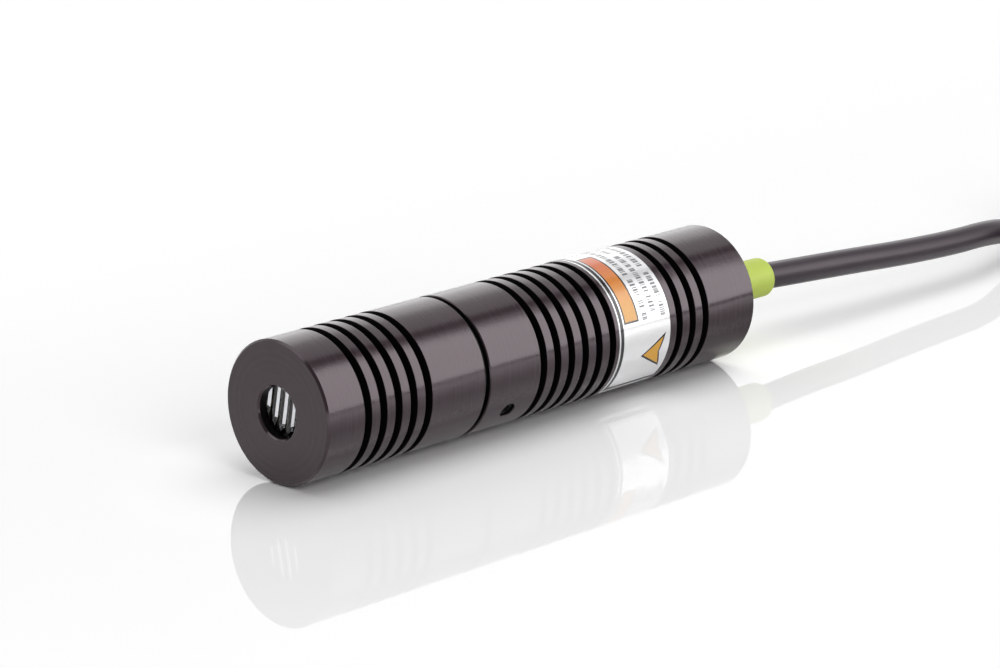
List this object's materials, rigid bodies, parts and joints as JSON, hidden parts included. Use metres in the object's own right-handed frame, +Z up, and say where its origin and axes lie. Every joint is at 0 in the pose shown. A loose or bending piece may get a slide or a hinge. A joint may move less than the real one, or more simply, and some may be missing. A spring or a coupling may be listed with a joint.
{
  "type": "laser diode module",
  "caption": "Slim cylindrical line laser module with a grooved black barrel, a round aperture with a fluted lens, a foil label and a round lead with a soft sleeve.",
  "frame": {"origin": "centre of the aperture in the plane of the barrel's front face, on the barrel's axis", "axes": "+Y along the barrel towards the lead, so the beam leaves along -Y; +Z up, away from the surface that the barrel lies on"},
  "size_m": [0.0364, 0.2529, 0.0201],
  "materials": {
    "black_anodised": "satin black anodised, fine turned",
    "black_steel": "black oxide",
    "clear_optic": "polished",
    "black_rubber": "matte",
    "brass": "turned",
    "spring_steel": "drawn wire",
    "gold_can": "gold plated",
    "lead_metal": "tinned",
    "insulating_film": "thin amber film",
    "circuit_board": "green solder mask",
    "chip_black": "moulded",
    "trimmer_blue": "moulded",
    "trimmer_metal": "plated",
    "tantalum_yellow": "moulded",
    "ceramic_tan": "ceramic",
    "wire_red": "insulation",
    "wire_black": "insulation",
    "cable_jacket": "satin jacket",
    "green_sleeve": "soft lime green",
    "foil_label": "printed silver foil",
    "tie_nylon": "nylon",
    "ferrule_metal": "tinned"
  },
  "bodies": {
    "root": {"cable": "cable_jacket", "cable_hank": "cable_jacket", "cable_inner": "cable_jacket", "ceramic_capacitors": "ceramic_tan", "chip_resistors": "chip_black", "collimator_cell": "brass", "collimator_lens": "clear_optic", "collimator_ring": "brass", "core_ferrules": "ferrule_metal", "core_negative": "wire_black", "core_positive": "wire_red", "diode_clamp_ring": "brass", "diode_holder": "brass", "diode_leads": "gold_can", "driver_board": "circuit_board", "driver_chip": "chip_black", "driver_chip_leads": "lead_metal", "focus_spring": "spring_steel", "front_barrel": "black_anodised", "grub_screw": "black_steel", "hank_tie": "tie_nylon", "insulating_sleeve": "insulating_film", "joint_seal": "black_rubber", "label": "foil_label", "laser_diode": "gold_can", "lens_gasket": "black_rubber", "lens_retaining_ring": "brass", "line_lens": "clear_optic", "main_barrel": "black_anodised", "plug_o_ring": "black_rubber", "power_transistor": "chip_black", "power_transistor_leads": "lead_metal", "protection_diode": "chip_black", "rear_plug": "black_anodised", "strain_relief_sleeve": "green_sleeve", "supply_wire_negative": "wire_black", "supply_wire_positive": "wire_red", "tantalum_capacitor": "tantalum_yellow", "trimmer": "trimmer_blue", "trimmer_rotor": "trimmer_metal"}
  },
  "joints": []
}
